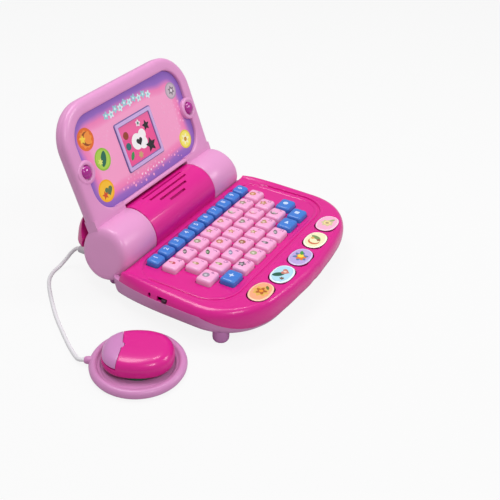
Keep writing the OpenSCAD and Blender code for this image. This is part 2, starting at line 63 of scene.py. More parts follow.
eye = Vector((-0.5182, -0.3498, 0.4479))
target = Vector((0.0264, -0.0073, 0.0400))
camera_data = bpy.data.cameras.new("camera")
camera_data.sensor_width = 36
camera_data.lens = 61.16
camera_data.shift_x = 0.0863
camera_data.shift_y = -0.0311
camera = placed("camera", camera_data)
camera.location = eye
camera.rotation_euler = look(target, eye)
scene.camera = camera


def soft_lamp(name, place, aim, size, watts):
    data = bpy.data.lights.new(name, "AREA")
    data.shape = "RECTANGLE"
    data.size = size[0]
    data.size_y = size[1]
    data.energy = watts
    lamp = placed(name, data)
    lamp.location = place
    lamp.rotation_euler = look(aim, place)


middle = (0.02, 0.0, 0.05)
soft_lamp("lamp_over", (0.0, 0.3, 1.1), middle, (0.55, 0.4), 5.6)
soft_lamp("lamp_left", (-0.42, -0.72, 0.95), middle, (0.3, 0.3), 3.2)
soft_lamp("lamp_right", (0.6, -0.85, 0.7), middle, (0.35, 0.35), 3.2)
soft_lamp("lamp_small", (0.32, -0.03, 0.98), middle, (0.16, 0.16), 1.1)


def seen_as_white(tree, lit, white, surface, share):
    """Shows a share of the white shader to the camera; all other rays meet the lit one."""
    add, join = tree.nodes.new, tree.links.new
    rays = add("ShaderNodeLightPath")
    seen = add("ShaderNodeMath")
    seen.operation = "MULTIPLY"
    settle(seen, {1: share})
    mixed = add("ShaderNodeMixShader")
    join(rays.outputs["Is Camera Ray"], seen.inputs[0])
    join(seen.outputs["Value"], mixed.inputs["Fac"])
    join(lit.outputs[0], mixed.inputs[1])
    join(white.outputs[0], mixed.inputs[2])
    join(mixed.outputs[0], surface.inputs["Surface"])


world = bpy.data.worlds.new("surround")
world.use_nodes = True
surround = world.node_tree
surround_light = surround.nodes["Background"]
settle(surround_light, {"Color": (1, 1, 1, 1), "Strength": 0.4})
white_back = surround.nodes.new("ShaderNodeBackground")
settle(white_back, {"Strength": 1.0})
seen_as_white(surround, surround_light, white_back, surround.nodes["World Output"], 1.0)
scene.world = world
scene.view_settings.view_transform = "Standard"

table_mesh = bpy.data.meshes.new("table")
table_mesh.from_pydata([(-3, -3, 0), (3, -3, 0), (3, 3, 0), (-3, 3, 0)], [], [(0, 1, 2, 3)])
table = placed("table", table_mesh)
table_finish = bpy.data.materials.new("pale table")
table_finish.use_nodes = True
table_tree = table_finish.node_tree
table_shader = table_tree.nodes["Principled BSDF"]
settle(table_shader, {"Base Color": (0.62, 0.62, 0.62, 1), "Roughness": 0.9, "Specular IOR Level": 0.1})
white_glow = table_tree.nodes.new("ShaderNodeEmission")
settle(white_glow, {"Color": (1, 1, 1, 1), "Strength": 1.0})
seen_as_white(table_tree, table_shader, white_glow, table_tree.nodes["Material Output"], 0.88)
table_mesh.materials.append(table_finish)


# ---- Mouse cord ----
# A soft round PVC cord that comes out of the back of the base beside the hinge, drops to the
# table, runs round the left side and ends in the collar of the mouse's saucer.
base_x, base_y = 44.5, -11.3


def on_base(p):
    """Millimetres from the middle of the base, to the frame's metres."""
    return Vector((p[0] + base_x, p[1] + base_y, p[2])) / 1000


def srgb(r, g, b):
    """A colour as written, to the linear values that the shaders take."""
    return [((c / 255 + 0.055) / 1.055) ** 2.4 if c > 10 else c / 3294.6 for c in (r, g, b)]


def piece_of(name, form, finishes, place, smooth):
    """Makes a form into a smooth object, each of its points put in its place in the frame."""
    for v in form.verts:
        v.co = place(v.co)
    mesh = bpy.data.meshes.new(name)
    form.to_mesh(mesh)
    form.free()
    for finish in finishes:
        mesh.materials.append(finish)
    mesh.shade_smooth()
    mesh.set_sharp_from_angle(angle=math.radians(smooth))
    return placed(name, mesh)


def make_piece(name, form, finishes, place, smooth=40):
    """Merges a form's doubled points, turns its faces outward and makes it an object."""
    bmesh.ops.remove_doubles(form, verts=form.verts, dist=0.0005)
    bmesh.ops.recalc_face_normals(form, faces=form.faces)
    return piece_of(name, form, finishes, place, smooth)


def skin(form, rings, finish=0, loop=False):
    """Quads from ring to ring; the first and last rings are closed by a face, or joined."""
    rows = [[form.verts.new(p) for p in ring] for ring in rings]
    count = len(rows[0])
    pairs = list(zip(rows, rows[1:])) + ([(rows[-1], rows[0])] if loop else [])
    faces = []
    for low, high in pairs:
        for k in range(count):
            n = (k + 1) % count
            faces.append(form.faces.new((low[k], low[n], high[n], high[k])))
    if not loop:
        faces.append(form.faces.new(list(reversed(rows[0]))))
        faces.append(form.faces.new(rows[-1]))
    for face in faces:
        face.material_index = finish
    return rows


def mesh_of(thing):
    """The mesh of an object, with its modifiers carried out."""
    return bpy.data.meshes.new_from_object(thing.evaluated_get(bpy.context.evaluated_depsgraph_get()))


def moulded(name, colour, rough=0.3, coat=0.3, drift=0.02, grain=0.04):
    """Gloss moulded plastic: faint clouding of the colour, uneven polish and a fine skin."""
    finish = bpy.data.materials.new(name)
    finish.use_nodes = True
    tree = finish.node_tree
    add, join = tree.nodes.new, tree.links.new
    shader = tree.nodes["Principled BSDF"]
    place = add("ShaderNodeTexCoord")

    def noise(scale, detail):
        node = add("ShaderNodeTexNoise")
        settle(node, {"Scale": scale, "Detail": detail})
        join(place.outputs["Object"], node.inputs["Vector"])
        return node

    cloud = noise(32, 4)
    blend = add("ShaderNodeMix")
    blend.data_type = "RGBA"
    settle(blend, {"A": (*[c * (1 - drift) for c in colour], 1),
                   "B": (*[min(1, c * (1 + drift)) for c in colour], 1)})
    join(cloud.outputs["Fac"], blend.inputs["Factor"])
    join(blend.outputs["Result"], shader.inputs["Base Color"])
    polish = noise(170, 5)
    spread = add("ShaderNodeMapRange")
    settle(spread, {"To Min": rough - 0.03, "To Max": rough + 0.04})
    join(polish.outputs["Fac"], spread.inputs["Value"])
    join(spread.outputs["Result"], shader.inputs["Roughness"])
    skin_noise = noise(1500, 2)
    bump = add("ShaderNodeBump")
    settle(bump, {"Strength": grain, "Distance": 0.0003})
    join(skin_noise.outputs["Fac"], bump.inputs["Height"])
    join(bump.outputs["Normal"], shader.inputs["Normal"])
    settle(shader, {"Specular IOR Level": 0.35, "Coat Weight": coat, "Coat Roughness": 0.12})
    return finish


cord_points = [(-74, 106.2, 20), (-74.5, 110, 19.2), (-77, 114.5, 14.5), (-81, 118, 8.5),
               (-87, 120.5, 3.6), (-96, 121, 1.8), (-106, 117, 1.8), (-116, 109, 1.8),
               (-130, 94, 1.8), (-146, 75, 1.8), (-161, 54, 1.8), (-171, 39, 1.8),
               (-178, 27, 2.8), (-180.5, 21.2, 4.4), (-178.7, 17.1, 4.5)]
cord_r = 1.75


def cord_route(steps=8):
    """A smooth line through the cord's points."""
    p = [Vector(q) for q in cord_points]
    line = []
    for k in range(len(p) - 1):
        a, b, c, d = p[max(k - 1, 0)], p[k], p[k + 1], p[min(k + 2, len(p) - 1)]
        for j in range(steps):
            t = j / steps
            line.append(0.5 * (2 * b + (c - a) * t + (2 * a - 5 * b + 4 * c - d) * t * t
                               + (3 * b - a - 3 * c + d) * t ** 3))
    return line + [p[-1]]


def tube_rings(line, radius, count=16):
    """Rings round a line, square to it and turned as little as they can be."""
    rings = []
    side = None
    for k, q in enumerate(line):
        along = (line[min(k + 1, len(line) - 1)] - line[max(k - 1, 0)]).normalized()
        side = along.cross(Vector((0, 0, 1))) if side is None else side - along * side.dot(along)
        side.normalize()
        up = side.cross(along)
        turns = [2 * math.pi * j / count for j in range(count)]
        rings.append([q + radius * (math.cos(a) * side + math.sin(a) * up) for a in turns])
    return rings


route = cord_route()
cord_form = bmesh.new()
skin(cord_form, tube_rings(route, cord_r))
cord_finish = moulded("cord PVC", srgb(226, 224, 228), rough=0.5, coat=0.0, grain=0.08)
mouse_cord = make_piece("mouse_cord_tube", cord_form, [cord_finish], on_base)
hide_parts("mouse_cord")
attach(mouse_cord, "base")


# ---- Base shells ----
# Two gloss moulded shells: the magenta top with the deck, the hump and the hinge barrel, and
# the light pink bottom. They are screwed together from below. The bottom's pink is a darker copy
# of the lid's pink plastic: painted shade.
magenta = moulded("magenta gloss shell", srgb(216, 22, 140), rough=0.3, coat=0.3, grain=0.01)
# A darker copy of the lid's pink plastic, as painted shade; the bottom shell, battery door and saucer take
# it.
light_pink_painted_shade = moulded("light pink shell painted shade", srgb(206, 136, 188), rough=0.34, coat=0.1, grain=0.01)


def dress(node, finish, edge):
    """Gives a solid its finish, and eases its sharp edges."""
    piece = nodes[node]
    sharp = math.radians(38)
    piece.data.materials.clear()
    piece.data.materials.append(finish)
    weld = piece.modifiers.new("weld", "WELD")
    weld.merge_threshold = 0.00001
    if edge:
        ease = piece.modifiers.new("ease", "BEVEL")
        ease.width = edge / 1000
        ease.segments = 2
        ease.limit_method = "ANGLE"
        ease.angle_limit = sharp
        ease.use_clamp_overlap = True
        ease.harden_normals = False
    piece.data.shade_smooth()
    piece.data.set_sharp_from_angle(angle=sharp)


def through(knots, at):
    """Smooth value at a place between knots of (place, value)."""
    at = min(max(at, knots[0][0]), knots[-1][0])
    k = max(j for j in range(len(knots) - 1) if knots[j][0] <= at)
    (x0, y0), (x1, y1) = knots[k], knots[k + 1]
    before, after = knots[max(k - 1, 0)], knots[min(k + 2, len(knots) - 1)]
    slope0, slope1 = (y1 - before[1]) / (x1 - before[0]), (after[1] - y0) / (after[0] - x0)
    t, span = (at - x0) / (x1 - x0), x1 - x0
    return (y0 * (1 + 2 * t) * (1 - t) ** 2 + slope0 * span * t * (1 - t) ** 2
            + y1 * t * t * (3 - 2 * t) + slope1 * span * t * t * (t - 1))


# Plan of the base: half its width at each distance behind the front centre, and in front of
# that centre the reach from it at each angle from the side. The solid_ sizes are the plain
# plan that the shells start from.
front_mid = -40
side_half = [(front_mid, 110.9), (-20, 110.9), (0, 110.4), (20, 108.2), (35, 105.2), (48, 101.3),
             (61, 96.6), (75, 84.5), (85, 73.0), (92, 61.0)]
front_points = [(110.9, -40), (109.8, -50), (104.2, -64), (93.2, -77), (74.0, -88.6), (50, -93.8),
                (25, -96.3), (0, -97)]
front_reach = [(math.degrees(math.atan2(front_mid - y, x)), math.hypot(x, y - front_mid))
               for x, y in front_points]
solid_half, solid_front, solid_corner, solid_rear_corner, rear_mid = 111, -98, 57, 52, 40
rim_band = 10
uncut_core = 2100

# What changes along X, Y and Z, as (beginning, length) pairs: the tuck and the straight sides of
# the hump, the lean of its top, and the lift of the deck's rim. Points nearer the middle than
# kept_half stay where they are, and behind kept_from that half width shrinks.
hump_tuck, tuck_x, hump_y, hump_z = 2.5, (60, 30), (64, 18), (26, 14)
kept_half, kept_slope, kept_from = 101, 0.95, 35
lean_share, lean_x, lean_y, lean_z = 0.05, 52, 50, (36, 8)
rim_lift, rim_x, rim_y, rim_z, deck_limit = 3.0, (98.3, 5), (-50, 90), (29, 5.5), 37

# The sunk key field: half its width, its front, its corner radius and where its edge ends.
field_half, field_front, field_corner, groove_end = 98, -64, 30, 20


def solid_half_at(y):
    behind = min(max(y - rear_mid, 0), solid_rear_corner - 0.5)
    return solid_half - solid_rear_corner + math.sqrt(solid_rear_corner ** 2 - behind ** 2)


def solid_reach_at(degrees):
    c, s = math.cos(math.radians(degrees)), math.sin(math.radians(degrees))
    cx, cy = solid_half - solid_corner, front_mid - (solid_front + solid_corner)
    b = cx * c + cy * s
    corner = b + math.sqrt(b * b - cx * cx - cy * cy + solid_corner ** 2)
    flat = (front_mid - solid_front) / max(s, 0.001)
    return flat if flat * c < cx else corner


def rise(at, start, length):
    """Goes from 0 to 1 over a length that begins at start."""
    return min(max((at - start) / length, 0), 1)


def drawn_in(distance, outer_now, outer_new, kept=200):
    """Moves the outer band from the plain outline to the curved one; nothing within kept moves."""
    inner = min(outer_new - rim_band, kept)
    if distance <= inner:
        return distance
    return inner + (distance - inner) * rim_band / (outer_now - inner)


def shaped_base(x, y, z):
    """Curves the plan, keeps the hump nearly full width and lifts the deck's rear rim."""
    side = abs(x)
    if y >= front_mid:
        hump = side - hump_tuck * rise(side, *tuck_x)
        side = drawn_in(side, solid_half_at(y), through(side_half, y),
                        kept_half - kept_slope * max(y - kept_from, 0))
        side += (hump - side) * rise(z, *hump_z) * rise(y, *hump_y)
    else:
        degrees = math.degrees(math.atan2(front_mid - y, side))
        reach = drawn_in(math.hypot(side, y - front_mid), solid_reach_at(degrees),
                         through(front_reach, degrees))
        side = reach * math.cos(math.radians(degrees))
        y = front_mid - reach * math.sin(math.radians(degrees))
    if side > lean_x and y > lean_y:
        side -= lean_share * (side - lean_x) * rise(z, *lean_z)
    lift = rise(z, *rim_z) * rise(side, *rim_x) if z < deck_limit else 0
    z += lift * rim_lift * rise(y, *rim_y)
    return math.copysign(side, x), y, z


def field_edge(grow):
    """The edge of the sunk key field, from its left rear end round the front to the right."""
    reach = field_corner + grow
    turns = [math.radians(a) for a in range(180, 271, 9)]
    left = [(-field_half - grow, groove_end), (-field_half - grow, groove_end - 8)]
    left += [(-field_half + field_corner + reach * math.cos(a),
              field_front + field_corner + reach * math.sin(a)) for a in turns]
    return left + [(-x, y) for x, y in reversed(left)]


def field_bead(form, section):
    """A low bead along the edge of the key field that sinks into the deck at both ends."""
    lines = [field_edge(grow) for grow, _ in section]
    count = len(lines[0])
    rings = [[(line[k][0], line[k][1], z - (1.5 if k in (0, count - 1) else 0.0))
              for line, (_, z) in zip(lines, section)] for k in range(count)]
    rows = skin(form, rings)
    faces = dict.fromkeys(f for row in rows for v in row for f in v.link_faces)
    bmesh.ops.recalc_face_normals(form, faces=list(faces))


def beside(v):
    """In the outer band of the sides."""
    return abs(v.co.x) > 86 and v.co.y > front_mid - 1


def behind_hinge(v):
    """In the rear corners and the ends of the hump."""
    return abs(v.co.x) > 46 and v.co.y > 44


def round_front(v):
    """In the round front, beyond a core whose squared reach is uncut_core."""
    return v.co.y < front_mid and v.co.x ** 2 + (v.co.y - front_mid) ** 2 > uncut_core


def shaped_shell(node, name, finish):
    """Copies a shell of the base, cuts it finely enough and gives it the curved plan."""
    form = bmesh.new()
    form.from_mesh(nodes[node].data)
    bmesh.ops.remove_doubles(form, verts=form.verts, dist=0.00001)
    for v in form.verts:
        v.co = Vector((v.co.x * 1000 - base_x, v.co.y * 1000 - base_y, v.co.z * 1000))
    planes = [((0, y, 0), (0, 1, 0), beside) for y in range(front_mid, 92, 6)]
    planes += [((s * x, 0, 0), (1, 0, 0), beside) for s in (-1, 1) for x in (92, 98.3, 101, 104)]
    planes += [((0, y, 0), (0, 1, 0), behind_hinge) for y in range(46, 92, 3)]
    planes += [((s * x, 0, 0), (1, 0, 0), behind_hinge) for s in (-1, 1) for x in range(48, 92, 4)]
    for degrees in range(6, 180, 6):
        across = (math.sin(math.radians(degrees)), math.cos(math.radians(degrees)), 0)
        planes.append(((0, front_mid, 0), across, round_front))
    for place, normal, belongs in planes:
        faces = [f for f in form.faces if any(belongs(v) for v in f.verts)]
        parts = dict.fromkeys(part for f in faces for part in (f, *f.edges, *f.verts))
        bmesh.ops.bisect_plane(form, geom=list(parts), dist=0.0005, plane_co=place, plane_no=normal)
    for v in form.verts:
        v.co = shaped_base(*v.co)
    if node == "base_top_shell":
        field_bead(form, [(2.6, 34.6), (1.5, 35.3), (0.5, 35.5), (-0.1, 35.2), (-0.35, 33.6)])
        field_bead(form, [(-2.4, 33.6), (-2.7, 34.5), (-3.3, 34.85), (-4.3, 34.8), (-5.6, 34.35),
                          (-6.4, 33.6)])
    bmesh.ops.triangulate(form, faces=[f for f in form.faces if len(f.verts) > 3])
    piece = piece_of(name, form, [finish], on_base, 32)
    even = piece.modifiers.new("even shading", "WEIGHTED_NORMAL")
    even.keep_sharp = True
    even.weight = 80
    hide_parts(node)
    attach(piece, "base")
    return piece


top_shell = shaped_shell("base_top_shell", "top_shell", magenta)
bottom_shell = shaped_shell("base_bottom_shell", "bottom_shell", light_pink_painted_shade)


# ---- Feet, screws, battery door, strain relief and switch ----
# Four soft feet plugged into the floor, self-tapping screws deep in their bosses, a ribbed
# battery door, a rubber strain relief and a slide switch in the left side.
foot_rubber = moulded("foot rubber", srgb(196, 126, 184), rough=0.55, coat=0.0, grain=0.2)
screw_steel = moulded("screw steel", [0.6, 0.6, 0.62], rough=0.35, coat=0.0, grain=0.1)
settle(screw_steel.node_tree.nodes["Principled BSDF"], {"Metallic": 1.0})
relief_rubber = moulded("strain relief rubber", srgb(196, 190, 198), rough=0.55, coat=0.0, grain=0.2)
switch_plastic = moulded("switch plastic", srgb(60, 20, 48), rough=0.45, coat=0.0, grain=0.25)
front_foot, rear_foot = (95, -58, 7.0, 12.5), (77, 65, 4.6, 9.0)
foot_profile = [(3.4, 0.0), (2.0, 0.15), (0.9, 0.8), (0.25, 1.9), (0.0, 3.4)]
foot_turns = [2 * math.pi * k / 48 for k in range(48)]
form = bmesh.new()
for s in (-1, 1):
    for x, y, r, top in (front_foot, rear_foot):
        skin(form, [[(s * x + (r - inset) * math.cos(a), y + (r - inset) * math.sin(a), z)
                     for a in foot_turns] for inset, z in foot_profile + [(0.0, top)]])
feet = make_piece("feet", form, [foot_rubber], on_base)
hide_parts("rubber_feet")
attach(feet, "base")
dress("case_screws", screw_steel, edge=0.0)
dress("battery_door", light_pink_painted_shade, edge=0.25)
dress("cord_grommet", relief_rubber, edge=0.4)
dress("power_switch", switch_plastic, edge=0.25)


# ---- Works inside the base ----
# A printed circuit board, a moulded silicone key sheet, a small paper-cone speaker, and three
# AA cells between plated contacts.
board_green = moulded("circuit board", srgb(40, 120, 74), rough=0.4, coat=0.2, drift=0.2)
silicone = moulded("silicone sheet", srgb(214, 208, 202), rough=0.6, coat=0.0)
speaker_black = moulded("speaker paper", srgb(52, 52, 58), rough=0.7, coat=0.0, drift=0.2)
cell_sleeve = moulded("cell sleeve", srgb(84, 104, 132), rough=0.3, coat=0.2)
dress("main_circuit_board", board_green, edge=0.0)
dress("key_membrane", silicone, edge=0.0)
dress("speaker", speaker_black, edge=0.0)
dust_felt = moulded("dust felt", srgb(196, 30, 128), rough=0.9, coat=0.0, grain=0.4)
hinge_y, hinge_z = 61, 40
felt_arc = [math.radians(d) for d in range(-18, 46, 4)]
felt_section = [(-r * math.sin(a) + hinge_y, r * math.cos(a) + hinge_z)
                for r, angles in ((21.95, felt_arc), (21.5, felt_arc[::-1])) for a in angles]
form = bmesh.new()
skin(form, [[(x, y, z) for y, z in felt_section] for x in (-35, 35)])
felt = make_piece("speaker_felt", form, [dust_felt], on_base)
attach(felt, "base")
dress("batteries", cell_sleeve, edge=0.4)
dress("battery_contacts", screw_steel, edge=0.0)


# ---- Letter keys ----
# Twenty-six gloss pink caps, crowned and rounded, each with a small printed picture over its
# letter. Each cap rises through its own window in the deck.
key_pink = moulded("pink key cap", srgb(240, 170, 212), rough=0.26, coat=0.2)
inks = {}


def ink(r, g, b):
    name = "ink_%02x%02x%02x" % (r, g, b)
    if name not in inks:
        inks[name] = moulded(name, srgb(r, g, b), rough=0.42, coat=0.1, drift=0.08, grain=0.03)
    return inks[name]


def oblong(w, d, r, n=7):
    """Rounded rectangle, as points round its middle."""
    points = []
    for k, (sx, sy) in enumerate([(1, 1), (-1, 1), (-1, -1), (1, -1)]):
        for j in range(n + 1):
            a = math.radians(90 * k + 90 * j / n)
            points.append((sx * (w / 2 - r) + r * math.cos(a), sy * (d / 2 - r) + r * math.sin(a)))
    return points


def cap_rings(w, d, r, profile, middle_at, lean=0.0):
    """Rings of a cap's outline, each at an inset and a height; lean tips the top."""
    cx, cy = middle_at
    rings = []
    for inset, z in profile:
        ring = oblong(w - 2 * inset, d - 2 * inset, max(r - 0.5 * inset, 0.6))
        rings.append([(x + cx, y + cy, z + lean * y * min(1, inset + 0.2)) for x, y in ring])
    return rings


def spokes(lobes, deep, radius=1.0, turn=0.0, n=60):
    """Closed outline with evenly spaced lobes."""
    return [((radius + deep * math.cos(lobes * a)) * math.cos(a + turn),
             (radius + deep * math.cos(lobes * a)) * math.sin(a + turn))
            for a in (2 * math.pi * k / n for k in range(n))]


def disc(radius=1.0):
    return spokes(1, 0, radius)


def heart(n=40):
    return [(math.sin(a) ** 3 * 0.95,
             (13 * math.cos(a) - 5 * math.cos(2 * a) - 2 * math.cos(3 * a) - math.cos(4 * a)) / 17)
            for a in (-2 * math.pi * k / n for k in range(n))]


def star(points=5, inner=0.45):
    return [((1 if k % 2 == 0 else inner) * math.sin(-math.pi * k / points),
             (1 if k % 2 == 0 else inner) * math.cos(-math.pi * k / points))
            for k in range(2 * points)]


def leaf(turn=0.6, n=32):
    c, s = math.cos(turn), math.sin(turn)
    raw = [(math.cos(a), 0.48 * math.sin(a) * abs(math.sin(a)) ** 0.3)
           for a in (2 * math.pi * k / n for k in range(n))]
    return [(c * x - s * y, s * x + c * y) for x, y in raw]


def drop(n=32):
    return [(0.62 * math.sin(a) * math.sin(a / 2) ** 1.2, 0.95 * math.cos(a))
            for a in (2 * math.pi * k / n for k in range(n))][::-1]


def moon(n=20):
    outer = [(math.cos(a), math.sin(a)) for a in
             (math.radians(60 + 240 * k / n) for k in range(n + 1))]
    inner = [(0.35 + 0.88 * math.cos(a), 0.88 * math.sin(a)) for a in
             (math.radians(282 - 204 * k / n) for k in range(1, n))]
    return outer + inner


def stamp(form, outline, middle_at, size, low, high, finish):
    """A print: an outline raised from one height to another."""
    cx, cy = middle_at
    rings = [[(cx + size * x, cy + size * y, z) for x, y in outline] for z in (low, high)]
    skin(form, rings, finish)


def legend(form, text, middle_at, size, low, high, finish, bold=0.0):
    """A printed letter or digit, raised from one height to another."""
    curve = bpy.data.curves.new("legend", "FONT")
    curve.body = text
    curve.size = 1.0
    curve.align_x = "CENTER"
    curve.align_y = "CENTER"
    curve.offset = bold
    curve.extrude = 0.01
    curve.resolution_u = 3
    holder = placed("legend", curve)
    shape = mesh_of(holder)
    bpy.data.objects.remove(holder)
    first = len(form.verts)
    first_face = len(form.faces)
    form.from_mesh(shape)
    form.verts.ensure_lookup_table()
    form.faces.ensure_lookup_table()
    for v in form.verts[first:]:
        z = high if v.co.z > 0 else low
        v.co = Vector((middle_at[0] + size * v.co.x, middle_at[1] + size * v.co.y, z))
    for face in form.faces[first_face:]:
        face.material_index = finish
    bpy.data.meshes.remove(shape)


key_profile = [(0.0, 33.2), (0.0, 36.2), (0.12, 37.2), (0.42, 38.0), (0.9, 38.6), (1.5, 39.0),
               (2.3, 39.28), (3.2, 39.42), (4.2, 39.47)]
key_w, key_d, key_r, key_pitch = 17.4, 14.4, 2.7, 20
print_foot, print_top = 39.25, 39.50
letter_rows = [("ABCDEFGH", -70, 5.0), ("IJKLMNO", -60, -12.2), ("PQRSTUV", -70, -29.4),
               ("WXYZ", -40, -46.6)]
motif_inks = {
    "A": (216, 70, 84), "B": (120, 96, 104), "C": (176, 170, 140), "D": (196, 140, 96),
    "E": (222, 150, 130), "F": (150, 158, 110), "G": (178, 150, 130), "H": (226, 150, 96),
    "I": (206, 160, 110), "J": (70, 110, 60), "K": (220, 140, 110), "L": (226, 140, 90),
    "M": (160, 140, 130), "N": (236, 140, 160), "O": (210, 140, 80), "P": (170, 160, 180),
    "Q": (170, 160, 80), "R": (160, 150, 190), "S": (180, 110, 70), "T": (200, 150, 90),
    "U": (214, 160, 120), "V": (120, 120, 110), "W": (110, 96, 110), "X": (190, 190, 150),
    "Y": (110, 100, 110), "Z": (130, 120, 130)}
motif_shapes = [disc(0.85), heart(), leaf(), spokes(5, 0.22, 0.78), star(), drop(), moon(),
                spokes(8, 0.1, 0.85)]
legend_ink = ink(150, 74, 140)


def key_cap(middle_at):
    form = bmesh.new()
    skin(form, cap_rings(key_w, key_d, key_r, key_profile, middle_at))
    return form


for letters, first_x, y in letter_rows:
    for k, letter in enumerate(letters):
        x = first_x + key_pitch * k
        form = key_cap((x, y))
        kind = motif_shapes[(ord(letter) * 5) % 8]
        stamp(form, kind, (x - 0.9, y + 1.0), 3.7, print_foot, print_top, 2)
        stamp(form, spokes(5, 0.2, 0.8), (x - 1.3, y + 1.1), 1.6, print_foot, print_top + 0.04, 3)
        legend(form, letter, (x + 4.4, y - 3.0), 4.6, print_foot, print_top, 1)
        tone = tuple(int(c * 0.86) for c in motif_inks[letter])
        paler = tuple(min(255, int(c * 0.45 + 140)) for c in tone)
        cap = make_piece("letter_cap_" + letter.lower(), form,
                         [key_pink, legend_ink, ink(*tone), ink(*paler)], on_base)
        node = "letter_key_" + letter.lower()
        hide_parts(node)
        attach(cap, node)


# ---- Function keys ----
# Four blue caps of the same size among the letter keys, with a plain printed sign on each.
key_blue = moulded("blue key cap", srgb(62, 122, 208), rough=0.26, coat=0.2)
sign_ink = ink(196, 216, 246)
function_places = [(70, -29.4), (-60, -46.6), (40, -46.6), (60, -46.6)]
function_signs = [disc(0.8), star(4, 0.4), [(-0.8, 0.7), (-0.8, -0.7), (0.8, 0)],
                  [(-0.7, 0.7), (-0.7, -0.7), (0.7, -0.7), (0.7, 0.7)]]
for k, (x, y) in enumerate(function_places):
    form = key_cap((x, y))
    stamp(form, function_signs[k], (x, y), 3.0, print_foot, print_top, 1)
    cap = make_piece("function_cap_%d" % (k + 1), form, [key_blue, sign_ink], on_base)
    node = "function_key_%d" % (k + 1)
    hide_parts(node)
    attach(cap, node)


# ---- Number keys ----
# One blue moulding behind the letters: ten crowned caps that flex on a thin web between them,
# each tipped a little towards the user and printed with its digit. The web's darker blue is
# painted shade between the caps.
# Darker blue on the same blue plastic for the web: painted shade between the number caps.
key_web_painted_shade = moulded("blue key web painted shade", srgb(24, 44, 110), rough=0.45, coat=0.0)
number_y, number_pitch = 22, 16
web_w, web_d = 158.6, 12.4
form = bmesh.new()
skin(form, [[(x, y + number_y, z) for x, y in oblong(web_w - 2 * inset, web_d - 2 * inset, 2.4)]
            for inset, z in [(0, 32.0), (0, 33.7), (0.3, 34.0), (0.9, 34.1)]], 1)
number_profile = [(0.0, 33.8), (0.0, 36.4), (0.15, 37.5), (0.5, 38.3), (1.0, 38.8), (1.7, 39.15),
                  (2.6, 39.38), (3.6, 39.48)]
number_w, number_d, number_r = 14.2, 12.2, 2.9
for k in range(10):
    x = (k - 4.5) * number_pitch
    skin(form, cap_rings(number_w, number_d, number_r, number_profile, (x, number_y), lean=0.05))
    legend(form, "1234567890"[k], (x, number_y), 6.2, 39.2, 39.6, 2, bold=0.02)
number_caps = make_piece("number_caps", form, [key_blue, key_web_painted_shade, sign_ink], on_base)
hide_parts("number_key_strip")
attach(number_caps, "number_key_strip")


# ---- Picture buttons ----
# Five oval buttons along the front of the deck, low domes with a coloured printed picture
# inside a paler rim. The low side of each dome is dark magenta: painted shade of the gap round it.
def oval(w, d, power=2.25, n=72):
    ring = []
    for k in range(n):
        a = 2 * math.pi * k / n
        c, s = math.cos(a), math.sin(a)
        ring.append((w / 2 * math.copysign(abs(c) ** (2 / power), c),
                     d / 2 * math.copysign(abs(s) ** (2 / power), s)))
    return ring


button_looks = [
    ("peach", (-63, -76.5), (250, 168, 128), (255, 206, 170),
     [(spokes(8, 0.12, 0.8), 6.4, (0, 0), (224, 176, 84)),
      (spokes(5, 0.2, 0.7), 4.6, (0.3, 0), (178, 92, 34)),
      (disc(), 1.5, (0.3, 0), (236, 150, 40)), (leaf(0.7), 2.2, (4.6, -2.2), (108, 118, 44))]),
    ("sky", (-31.5, -79.7), (176, 220, 238), (226, 242, 250),
     [(leaf(2.3), 4.6, (-1.6, 2.2), (34, 92, 74)), (heart(), 3.4, (2.4, -0.8), (196, 120, 108)),
      (star(6, 0.5), 2.0, (-4.2, -2.4), (120, 90, 70)),
      (disc(), 1.1, (2.4, -0.6), (240, 200, 180))]),
    ("lilac", (0, -80.8), (186, 166, 222), (208, 192, 236),
     [(spokes(6, 0.2, 0.75), 6.0, (0, 0), (96, 120, 170)),
      (spokes(5, 0.2, 0.75), 4.2, (-0.6, -0.6), (226, 122, 50)),
      (disc(), 2.2, (0.6, 0.2), (244, 220, 70)), (leaf(0.4), 2.6, (3.6, 1.2), (70, 150, 70))]),
    ("cream", (31.5, -79.7), (238, 234, 190), (252, 250, 224),
     [(moon(), 4.2, (-2.2, 0), (206, 112, 72)), (leaf(1.3), 4.0, (2.4, 0.8), (120, 146, 92)),
      (star(), 2.0, (0.4, -2.6), (150, 80, 60)), (spokes(5, 0.2, 0.8), 1.5, (0.8, 2.8), (222, 170, 90))]),
    ("pink", (63, -76.5), (244, 176, 208), (250, 204, 224),
     [(spokes(7, 0.14, 0.8), 5.2, (0, 0), (206, 200, 150)), (disc(), 2.6, (0, 0), (240, 214, 150)),
      (star(8, 0.6), 1.7, (0, 0), (176, 150, 120)), (leaf(2.6), 2.4, (4.2, -2.0), (160, 176, 120))])]
button_w, button_d, painted_gap_shade_top = 28, 19.2, 35.6
button_dome = [(0.0, 33.4), (0.0, 35.3), (0.25, 35.8), (0.8, 36.1), (1.7, 36.2)]
